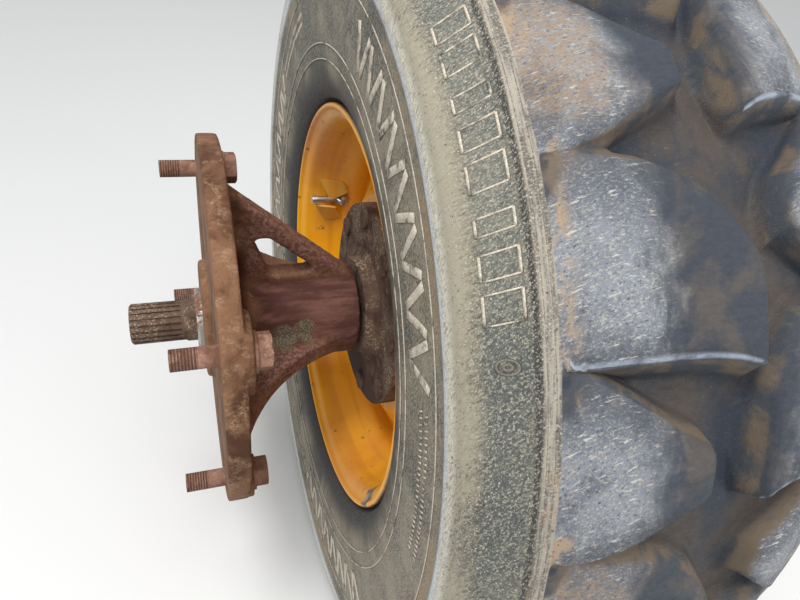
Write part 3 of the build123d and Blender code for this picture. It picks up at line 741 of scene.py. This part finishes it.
def build_tyre():
    """The patch of one pair of lugs, turned round the axle and welded to a closed tyre."""
    rows = tyre_rows()
    rows.append(rows[0])
    columns = lug_columns * 4
    shape = bmesh.new()
    bmesh.ops.create_grid(shape, x_segments=columns, y_segments=len(rows) - 1, size=1.0)
    layers = [shape.verts.layers.float.new(name) for name in tread_layers]
    crease = shape.edges.layers.float.new("crease_edge")
    grid = sorted(shape.verts, key=lambda vert: (round(vert.co.y, 5), vert.co.x))
    lines = [grid[start:start + columns + 1] for start in range(0, len(grid), columns + 1)]
    for line, (place, points) in zip(lines, rows):
        place_row(line, place, points, layers)
    crease_rows(shape, lines, rows, crease)
    bmesh.ops.spin(
        shape, geom=shape.verts[:] + shape.edges[:] + shape.faces[:], cent=(0, 0, 0),
        axis=(1, 0, 0), angle=radians(pair_pitch * (lug_pairs - 1)), steps=lug_pairs - 1,
        use_duplicate=True,
    )
    bmesh.ops.remove_doubles(shape, verts=shape.verts[:], dist=0.00002)
    tyre = mesh_of(shape, "lugged_tyre")
    round_off(tyre)
    tyre.data.materials.append(tyre_finish)
    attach(tyre, "wheel")
    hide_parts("tyre")
    return tyre


tyre = build_tyre()
print("tyre faces before rounding:", len(tyre.data.polygons))

# %% [markdown]
# Raised marks on the sidewall break up its plain rubber: hollow blocks in the
# band under the shoulder, a zigzag and two rows of short bars on the sidewall,
# a round boss, and thin rings between them. Each bar follows the tyre's
# section, sunk a little at its foot, and its top is rubbed pale. The attribute
# mark_top is 1 on the tops.

# %% Bars and rings that follow the sidewall
mark_height = 0.0008
mark_sunk = 0.0012


def wall_at(radius):
    """The sidewall's distance from the tread's middle at a radius."""
    wall = [(r, w) for w, r in shoulder + band_and_ridge + sidewall]
    return read_table(wall, radius, 1)


def wall_strip(shape, sign, line, width, closed=False, pale=1.0):
    """A raised strip along a line of (radius, degrees), as wide as width."""
    tops = shape.verts.layers.float["mark_top"]
    corners = ((-mark_sunk, -0.75), (mark_height, -0.5), (mark_height, 0.5), (-mark_sunk, 0.75))
    rows = []
    for number, (radius, angle) in enumerate(line):
        before = line[max(0, number - 1)]
        after = line[min(len(line) - 1, number + 1)]
        along = Vector((after[0] - before[0], radians(after[1] - before[1]) * radius)).normalized()
        row = []
        for lift, share in corners:
            out = radius + along.y * width * share
            turned = radians(angle) - along.x * width * share / radius
            vert = shape.verts.new((
                mid_x - sign * (wall_at(out) + lift), -out * cos(turned), out * sin(turned)))
            vert[tops] = pale * (lift > 0)
            row.append(vert)
        rows.append(row)
    if closed:
        rows.append(rows[0])
    for first, second in zip(rows, rows[1:]):
        for k in range(4):
            shape.faces.new((first[k], first[(k + 1) % 4], second[(k + 1) % 4], second[k]))
    if not closed:
        shape.faces.new(rows[0])
        shape.faces.new(list(reversed(rows[-1])))


def line_between(start, end, steps):
    """Points from one (radius, degrees) to another."""
    return [
        tuple(first + (last - first) * step / steps for first, last in zip(start, end))
        for step in range(steps + 1)
    ]


def wall_ring(shape, sign, radius, width):
    """A raised ring round the sidewall, in steps of three degrees."""
    wall_strip(shape, sign, line_between((radius, 0), (radius, 357), 119), width, closed=True)


print("strips lie on the wall at", round(wall_at(0.30), 4))

# %% [markdown]
# The marks come in three equal groups round the wheel, as moulded ones often
# do. Their places are angles in degrees from the front towards the top.

# %% The marks on both sidewalls
mark_groups = 3
group_turn = 120
block_low, block_high = 0.3815, 0.3960
blocks_in_group = 8
block_sizes = (2.5, 2.1, 1.5)
block_pitch = 3.62
block_lean = 0.5
block_line = 0.0009
blocks_start = 43.9
zigzag_low, zigzag_high = 0.2880, 0.3230
zigzag_pitch = 3.3
zigzag_width = 0.0060
zigzag_gap = 1.1
zigzag_bars = 16
zigzag_start = 36.0
short_bar_rows = ((0.3050, 0.3095), (0.3150, 0.3195))
short_bars = 26
short_bar_pitch = 0.9
short_bar_width = 0.0011
short_bars_before = 26
ring_radii = (0.262, 0.276, 0.334)
ring_width = 0.0010
boss_angle = 40.65
boss_middle = 0.3888


def hollow_block(shape, sign, angle, size):
    """The outline of a slanted block, size degrees long."""
    corners = [
        (block_low, angle), (block_low, angle + size),
        (block_high, angle + size + block_lean), (block_high, angle + block_lean),
    ]
    for start, end in zip(corners, corners[1:] + corners[:1]):
        wall_strip(shape, sign, line_between(start, end, 4), block_line)


def round_boss(shape, sign):
    """Two small rings, one in the other, low on the band."""
    for size, width in ((0.0042, 0.0012), (0.0016, 0.0014)):
        line = []
        for step in range(16):
            turned = step * pi / 8
            angle = boss_angle + degrees(size * cos(turned) / boss_middle)
            line.append((boss_middle + size * sin(turned), angle))
        wall_strip(shape, sign, line, width, closed=True, pale=0.7)


def build_marks():
    """Blocks, bars and rings on both sidewalls."""
    shape = bmesh.new()
    shape.verts.layers.float.new("mark_top")
    for sign in (1, -1):
        for group in range(mark_groups):
            for block in range(blocks_in_group):
                angle = blocks_start + group * group_turn + block * block_pitch
                hollow_block(shape, sign, angle, block_sizes[block % len(block_sizes)])
        for group in range(mark_groups):
            start = zigzag_start + group * group_turn
            for bar in range(zigzag_bars):
                first, last = (zigzag_low, zigzag_high) if bar % 2 else (zigzag_high, zigzag_low)
                angle = start + bar * zigzag_pitch
                line = line_between((first, angle), (last, angle + zigzag_pitch - zigzag_gap), 5)
                wall_strip(shape, sign, line, zigzag_width)
            for bar in range(short_bars):
                angle = start - short_bars_before + bar * short_bar_pitch
                for low, high in short_bar_rows:
                    line = line_between((low, angle), (high, angle + 0.3), 2)
                    wall_strip(shape, sign, line, short_bar_width)
        for radius in ring_radii:
            wall_ring(shape, sign, radius, ring_width)
        round_boss(shape, sign)
    marks = mesh_of(shape, "sidewall_marks")
    marks.data.materials.append(rubbed_marks())
    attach(marks, "wheel")
    return marks


def rubbed_marks():
    """Rubber like the sidewall's, with tops that are rubbed pale in patches."""
    rubber = Finish("rubbed_marks")
    top = rubber.attribute("mark_top")
    patches = rubber.noise(60.0, 5.0, 0.65)
    specks = rubber.noise(900.0, 3.0, 0.65)
    pale = rubber.over(
        rubber.rise(specks, 0.45, 0.60), (0.450, 0.385, 0.295), (0.640, 0.580, 0.490))
    pale = rubber.over(rubber.rise(patches, 0.34, 0.50), (0.130, 0.122, 0.098), pale)
    colour = rubber.over(rubber.rise(top, 0.60, 0.90), (0.050, 0.048, 0.042), pale)
    rubber.bump(specks, 0.0004)
    return rubber.done(colour, 0.8, specular=0.35)


marks = build_marks()
print("mark faces:", len(marks.data.polygons))

# %% [markdown]
# Rust has three tones, a cloudy base, darker blooms and lighter dust, with
# pits that show in the light. The casting adds its own story: a tan flange,
# a smoother purple-brown barrel and painted shade in the corner where the two meet.

# %% Finishes of rust
thread_pitch = 0.0025
thread_start = -0.016
dirt_pocket = (0.070, -0.054, 0.014)     # caked dirt above the lower rib
second_pocket = (0.092, -0.052, 0.021)


def rust_layers(finish, base, dark, light, size):
    """A rusted colour: clouds of dark bloom and light dust over the base, with pits."""
    clouds = finish.noise(18.0 * size, 6.0, 0.65, distortion=0.4)
    blooms = finish.noise(55.0 * size, 5.0, 0.7)
    pits = finish.cells(320.0 * size)
    grit = finish.noise(600.0 * size, 4.0, 0.7)
    colour = finish.over(finish.rise(clouds, 0.42, 0.64), base, dark)
    dusted = finish.both(finish.rise(blooms, 0.50, 0.66), finish.rise(grit, 0.35, 0.6))
    colour = finish.over(dusted, colour, light)
    colour = finish.over(finish.fall(pits, 0.05, 0.22), colour, dark)
    finish.bump(clouds, 0.0012)
    finish.bump(pits, 0.0005)
    finish.bump(grit, 0.0005)
    return colour


def rusted(name, base, dark, light, size=1.0, rough=0.85):
    """A plain rusted finish."""
    finish = Finish(name)
    return finish.done(rust_layers(finish, base, dark, light, size), rough, specular=0.3)


def cast_rust():
    """The casting's finish: a tan flange, a smoother barrel, painted shade in the corner between
    them, and caked dirt.
    """
    finish = Finish("cast_iron")
    radius = finish.from_axle()
    x = finish.parts()[0]
    colour = rust_layers(
        finish, (0.215, 0.107, 0.055), (0.080, 0.032, 0.015), (0.325, 0.198, 0.120), 1.0)
    along = finish.noise(60.0, 5.0, 0.65, at=finish.stretched((0.30, 1.3, 1.3)))
    smooth = finish.over(
        finish.rise(along, 0.38, 0.66), (0.082, 0.031, 0.025), (0.185, 0.085, 0.064))
    on_barrel = finish.both(finish.fall(radius, 0.053, 0.062), finish.rise(x, 0.030, 0.050))
    colour = finish.over(on_barrel, colour, smooth)
    ribs = finish.both(finish.rise(x, 0.027, 0.040), finish.rise(radius, 0.058, 0.070))
    grainy = finish.rise(finish.noise(260.0, 4.0, 0.7), 0.42, 0.62)
    rib_rust = finish.over(grainy, (0.130, 0.056, 0.040), (0.270, 0.145, 0.108))
    on_ribs = finish.both(ribs, finish.rise(finish.noise(30.0, 5.0, 0.6), 0.30, 0.55))
    colour = finish.over(on_ribs, colour, rib_rust)
    # Painted shade in the corner where the flange meets the barrel.
    corner = finish.both(
        finish.band(radius, 0.055, 0.100, 0.012), finish.band(x, 0.018, 0.036, 0.006))
    colour = finish.over(corner, colour, (0.066, 0.019, 0.007))
    grains = finish.rise(finish.noise(650.0, 4.0, 0.75), 0.44, 0.62)
    gritty = finish.over(grains, (0.078, 0.060, 0.038), (0.235, 0.195, 0.130))
    pocket = finish.maths(
        "MAXIMUM", finish.spot(dirt_pocket, 0.010, 0.016, 0.024),
        finish.spot(second_pocket, 0.008, 0.014, 0.024))
    colour = finish.over(pocket, colour, gritty)
    return finish.done(colour, 0.85, specular=0.3)


def bolt_rust():
    """Rusted bolts, with the turns of the thread on the part behind the flange."""
    finish = Finish("bolt_steel")
    x = finish.parts()[0]
    colour = rust_layers(
        finish, (0.300, 0.160, 0.112), (0.150, 0.066, 0.040), (0.430, 0.260, 0.190), 1.6)
    turns = finish.maths("SINE", finish.times(x, 2 * pi / thread_pitch))
    threaded = finish.fall(x, thread_start - 0.001, thread_start)
    groove = finish.times(finish.times(turns, 0.5), threaded)
    colour = finish.over(
        finish.both(finish.fall(turns, -0.9, -0.1), threaded), colour, (0.110, 0.050, 0.032))
    finish.bump(groove, 0.0012)
    return finish.done(colour, 0.85, specular=0.3)


def hub_crust():
    """The axle forging: rust with painted shade below, and caked grit round its upper half."""
    finish = Finish("forged_steel")
    z = finish.parts()[2]
    colour = rust_layers(
        finish, (0.125, 0.078, 0.055), (0.055, 0.027, 0.018), (0.210, 0.150, 0.110), 1.2)
    grit = finish.rise(finish.noise(420.0, 4.0, 0.75), 0.50, 0.60)
    caked = finish.both(
        finish.rise(z, -0.035, -0.005), finish.rise(finish.noise(34.0, 4.0, 0.6), 0.40, 0.58))
    crust = finish.over(grit, (0.130, 0.082, 0.055), (0.380, 0.300, 0.215))
    colour = finish.over(caked, colour, crust)
    # Painted shade: darker towards the bottom.
    colour = finish.over(finish.fall(z, -0.075, -0.045), colour, (0.060, 0.036, 0.026))
    return finish.done(colour, 0.92, specular=0.25)


finishes = {
    "tyre_rubber": tyre_finish,
    "cast_iron": cast_rust(),
    "bolt_steel": bolt_rust(),
    "forged_steel": hub_crust(),
}
rusty_heads = rusted(
    "rusty_heads", (0.120, 0.074, 0.052), (0.060, 0.031, 0.021), (0.210, 0.145, 0.105), 1.8, 0.95)
print("rust ready")

# %% [markdown]
# The rim's enamel has dusty patches, a few chips, brushed hoops and one bare
# patch near its edge, where stones strike it. Machined steel keeps its turned
# rings under a bloom of rust, and the seal is plain moulded rubber.

# %% Finishes of paint, bare metal and the seal
bare_patch = (0.141, -0.189, -0.096)


def yellow_paint(name, bright, deep):
    """Machine enamel: dusty, with a thin worn lip, chips, and one bare patch near the edge."""
    paint = Finish(name)
    radius = paint.from_axle()
    fade = paint.noise(7.0, 4.0, 0.55)
    hoops = paint.noise(70.0, 2.0, 0.5, at=paint.stretched((1.0, 0.05, 0.05)))
    chips = paint.noise(70.0, 5.0, 0.72)
    fine = paint.noise(500.0, 3.0, 0.6)
    colour = paint.over(paint.rise(fade, 0.40, 0.62), bright, deep)
    colour = paint.over(
        paint.times(paint.rise(hoops, 0.45, 0.65), 0.35), colour, (0.560, 0.185, 0.002))
    dusty = paint.both(paint.rise(chips, 0.50, 0.68), paint.rise(fine, 0.42, 0.60))
    colour = paint.over(paint.times(dusty, 0.30), colour, (0.560, 0.330, 0.110))
    chipped = paint.rise(chips, 0.655, 0.67)
    colour = paint.over(chipped, colour, (0.120, 0.070, 0.045))
    bare = paint.spot(bare_patch, 0.013, 0.016, 0.034)
    primer = paint.over(
        paint.rise(chips, 0.46, 0.54), (0.075, 0.060, 0.048), (0.420, 0.330, 0.220))
    colour = paint.over(bare, colour, primer)
    worn_lip = paint.both(paint.rise(radius, 0.2198, 0.2208), paint.rise(chips, 0.36, 0.50))
    colour = paint.over(worn_lip, colour, (0.400, 0.260, 0.140))
    colour = paint.over(paint.rise(radius, 0.2210, 0.2216), colour, (0.160, 0.080, 0.040))
    paint.bump(paint.minus(1.0, paint.maths("MAXIMUM", chipped, bare)), 0.0003)
    paint.bump(fine, 0.00012)
    return paint.done(colour, paint.level(dusty, 0.40, 0.72), specular=0.45)


def bare_steel(name, base, rust_amount, rough):
    """Machined or ground steel with a bloom of rust."""
    steel = Finish(name)
    rings = steel.noise(240.0, 3.0, 0.6, at=steel.stretched((1.0, 0.15, 0.15)))
    blooms = steel.noise(60.0, 5.0, 0.7)
    spotted = steel.rise(blooms, 0.72 - rust_amount, 0.86 - rust_amount)
    colour = steel.over(spotted, base, (0.190, 0.090, 0.048))
    steel.bump(rings, 0.0002)
    return steel.done(
        colour, steel.level(spotted, rough, 0.85), metallic=steel.level(spotted, 1.0, 0.0))


def black_rubber():
    """The seal's moulded rubber."""
    rubber = Finish("seal_rubber")
    rubber.bump(rubber.noise(500.0, 2.0, 0.5), 0.0002)
    return rubber.done((0.028, 0.027, 0.026), 0.55)


finishes["yellow_paint"] = yellow_paint(
    "yellow_paint", (0.930, 0.410, 0.002), (0.780, 0.290, 0.002))
faded_paint = yellow_paint("faded_paint", (0.640, 0.330, 0.045), (0.540, 0.260, 0.035))
finishes["machined_steel"] = bare_steel("machined_steel", (0.42, 0.40, 0.37), 0.26, 0.42)
finishes["bearing_steel"] = bare_steel("bearing_steel", (0.58, 0.58, 0.59), 0.10, 0.24)
finishes["valve_metal"] = bare_steel("valve_metal", (0.50, 0.49, 0.47), 0.16, 0.40)
finishes["seal_rubber"] = black_rubber()
print("finishes:", len(finishes))

# %% [markdown]
# The solids have hard edges. A fine copy of each one is merged, its flat faces
# are joined, and its sharp edges get a small bevel that catches the light.

# %% Fine copies with bevelled edges
node_slots = {part["node"]: part["material_slot"] for part in frame["record"]["subparts"]}
node_bodies = {
    node: body
    for body, members in frame["record"]["behaviour"]["bodies"].items()
    for node in members
}
merge_distance = 0.000005
flat_angle = 0.8          # degrees; faces that meet flatter than this are joined
sharp_angle = 28
edge_bevels = {
    "flange_bolts": 0.0007, "flange_washers": 0.0004, "wheel_nuts": 0.0006, "wheel_studs": 0.0005,
    "axle_shaft": 0.0012, "wheel_disc": 0.0010, "valve_stem": 0.0003,
    "valve_cap": 0.0004, "bearing_nut": 0.0006, "tab_washer": 0.0002,
}


def merged_shape(node):
    """A bmesh of a solid, merged, with its flat faces joined."""
    shape = bmesh.new()
    shape.from_mesh(nodes[node].data)
    bmesh.ops.remove_doubles(shape, verts=shape.verts[:], dist=merge_distance)
    bmesh.ops.dissolve_limit(
        shape, angle_limit=radians(flat_angle), verts=shape.verts[:], edges=shape.edges[:],
        use_dissolve_boundaries=False,
    )
    return shape


def soften(shape, edges, width):
    """A small bevel along edges."""
    bmesh.ops.bevel(
        shape, geom=edges, offset=width, offset_type="OFFSET", affect="EDGES", segments=2,
        profile=0.5, material=-1, clamp_overlap=True,
    )


def finish_piece(piece, node):
    """A piece takes the place, body and finish of its solid."""
    piece.data.materials.append(finishes[node_slots[node]])
    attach(piece, node_bodies[node])
    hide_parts(node)


def fine_copy(node, width):
    """A solid's copy with bevelled edges and flat faces that stay flat."""
    shape = merged_shape(node)
    sharp = [
        edge for edge in shape.edges
        if edge.is_manifold and edge.calc_face_angle() > radians(sharp_angle)
    ]
    soften(shape, sharp, width)
    piece = mesh_of(shape, "fine_" + node)
    piece.modifiers.new("even_normals", "WEIGHTED_NORMAL")
    finish_piece(piece, node)
    return piece


fine_pieces = {node: fine_copy(node, width) for node, width in edge_bevels.items()}
for node, piece in fine_pieces.items():
    print(node, len(piece.data.polygons))

# %% [markdown]
# A rolled rim has no hard corner. Its section is drawn a little finer than the
# solid's, spun round the axle and rounded, and only the fold into the well
# stays firm. A bevel on the solid's copy would leave its walls too even.

# %% The rim
rim_outside = [
    (0.1366, 0.2176), (0.1358, 0.2205), (0.1338, 0.2218), (0.1292, 0.2218), (0.1256, 0.2190),
    (0.1241, 0.2145), (0.1238, 0.2096), (0.1100, 0.2058), (0.0930, 0.2011), (0.0810, 0.1940),
    (0.0682, 0.1860),
]
rim_inside = [
    (0.0695, 0.1800), (0.0825, 0.1880), (0.0943, 0.1950), (0.1100, 0.2000), (0.1240, 0.2045),
    (0.1275, 0.2080), (0.1298, 0.2130), (0.1318, 0.2152), (0.1345, 0.2160),
]
rim_fold = 0.8
fold_radius = 0.187       # hoops of edges inside this radius are the folds
spin_steps = 96


def build_rim():
    """The rim's section, spun round the axle."""
    loop = [(-w, r) for w, r in rim_outside] + [(w, r) for w, r in reversed(rim_outside)]
    loop += [(w, r) for w, r in reversed(rim_inside)] + [(-w, r) for w, r in rim_inside]
    shape = bmesh.new()
    crease = shape.edges.layers.float.new("crease_edge")
    verts = [shape.verts.new((mid_x + w, 0.0, r)) for w, r in loop]
    edges = [shape.edges.new(pair) for pair in zip(verts, verts[1:] + verts[:1])]
    bmesh.ops.spin(
        shape, geom=verts + edges, cent=(0, 0, 0), axis=(1, 0, 0), angle=2 * pi,
        steps=spin_steps, use_merge=True,
    )
    for edge in shape.edges:
        first, second = edge.verts
        hoop = abs(first.co.x - second.co.x) < 0.00001
        if hoop and Vector(first.co.yz).length < fold_radius:
            edge[crease] = rim_fold
    rim = mesh_of(shape, "rolled_rim")
    round_off(rim)
    finish_piece(rim, "rim")
    return rim


rim = build_rim()
print("rim faces before rounding:", len(rim.data.polygons))

# %% [markdown]
# Two thick plates stand on the rim and shield the valve from stones. Their
# outlines could be drawn and extruded. Here each starts as a block with one
# end narrower, and is turned into its place, because a few named sizes are
# easier to nudge until a piece lies right. The stem is bent down to the rim.

# %% The valve's guard
plate_thickness = 0.0036
plate_edge = 0.0008
stem_drop = 0.012
stem_share = 0.82         # of the solid's length, past the bend


def guard_plate(shape, x, angle, radius, length, wide, narrow, slant, turn, dip, lean):
    """One plate, narrower towards the disc, turned about its middle."""
    corners = bmesh.ops.create_cube(shape, size=1.0)["verts"]
    for corner in corners:
        width = wide if corner.co.x < 0 else narrow
        across = corner.co.y * width
        along = corner.co.x * length + across * tan(radians(slant))
        corner.co = Vector((along, across, corner.co.z * plate_thickness))
    round_axle = Matrix.Rotation(radians(90 - angle), 4, "X")
    turned = Matrix.Identity(4)
    for degrees_turned, axis in ((turn, "Z"), (dip, "Y"), (lean, "X")):
        turned = turned @ Matrix.Rotation(radians(degrees_turned), 4, axis)
    place = round_axle @ Matrix.Translation((x, 0.0, radius)) @ turned
    bmesh.ops.transform(shape, matrix=place, verts=corners)


def build_guard():
    """The two plates, with rounded edges."""
    shape = bmesh.new()
    guard_plate(
        shape, 0.176, 171, 0.1890, length=0.029, wide=0.031, narrow=0.016, slant=15,
        turn=-25, dip=15, lean=-35)
    guard_plate(
        shape, 0.171, 182.5, 0.1845, length=0.026, wide=0.043, narrow=0.026, slant=0,
        turn=-20, dip=25, lean=20)
    soften(shape, shape.edges[:], plate_edge)
    guard = mesh_of(shape, "bent_guard")
    guard.modifiers.new("even_normals", "WEIGHTED_NORMAL")
    finish_piece(guard, "valve_guard")
    return guard


def lower_stem(piece):
    """Lays the stem closer to the rim, from its bend to its end."""
    bend_start, bend_length = 0.184, 0.010
    for vert in piece.data.vertices:
        share = min(1.0, max(0.0, (bend_start - vert.co.x) / bend_length))
        out = Vector((0.0, vert.co.y, vert.co.z)).normalized()
        vert.co += out * stem_drop * share
        vert.co.x = bend_start - (bend_start - vert.co.x) * (stem_share if share else 1.0)


guard = build_guard()
guard.data.materials[0] = faded_paint
lower_stem(fine_pieces["valve_stem"])
lower_stem(fine_pieces["valve_cap"])
fine_pieces["wheel_studs"].data.materials[0] = rusty_heads
print("guard faces:", len(guard.data.polygons))

# %% [markdown]
# The casting is remade from small cubes of space and smoothed, so each inside
# corner gets the soft fillet and each edge the round of a sand casting.

# %% The casting
grain_size = 0.0022
smooth_share = 0.5
smooth_passes = 9


def build_casting():
    """The housing's copy, remeshed and smoothed."""
    shape = merged_shape("axle_housing")
    casting = mesh_of(shape, "sand_casting")
    remesh = casting.modifiers.new("remesh", "REMESH")
    remesh.mode = "VOXEL"
    remesh.voxel_size = grain_size
    remesh.use_smooth_shade = True
    smooth = casting.modifiers.new("smooth", "SMOOTH")
    smooth.factor = smooth_share
    smooth.iterations = smooth_passes
    finish_piece(casting, "axle_housing")
    return casting


casting = build_casting()
print("casting solid has", len(casting.data.polygons), "faces")

# %% [markdown]
# Bearings and the seal are turned parts, hidden or nearly so. Their solids are
# round and sharp enough as they are, and only need their finish.

# %% Finish the solids that stay as they are
for node, solid in nodes.items():
    if node not in edge_bevels and node not in ("tyre", "axle_housing", "rim", "valve_guard"):
        solid.data.materials.clear()
        solid.data.materials.append(finishes[node_slots[node]])
print("plain solids done")
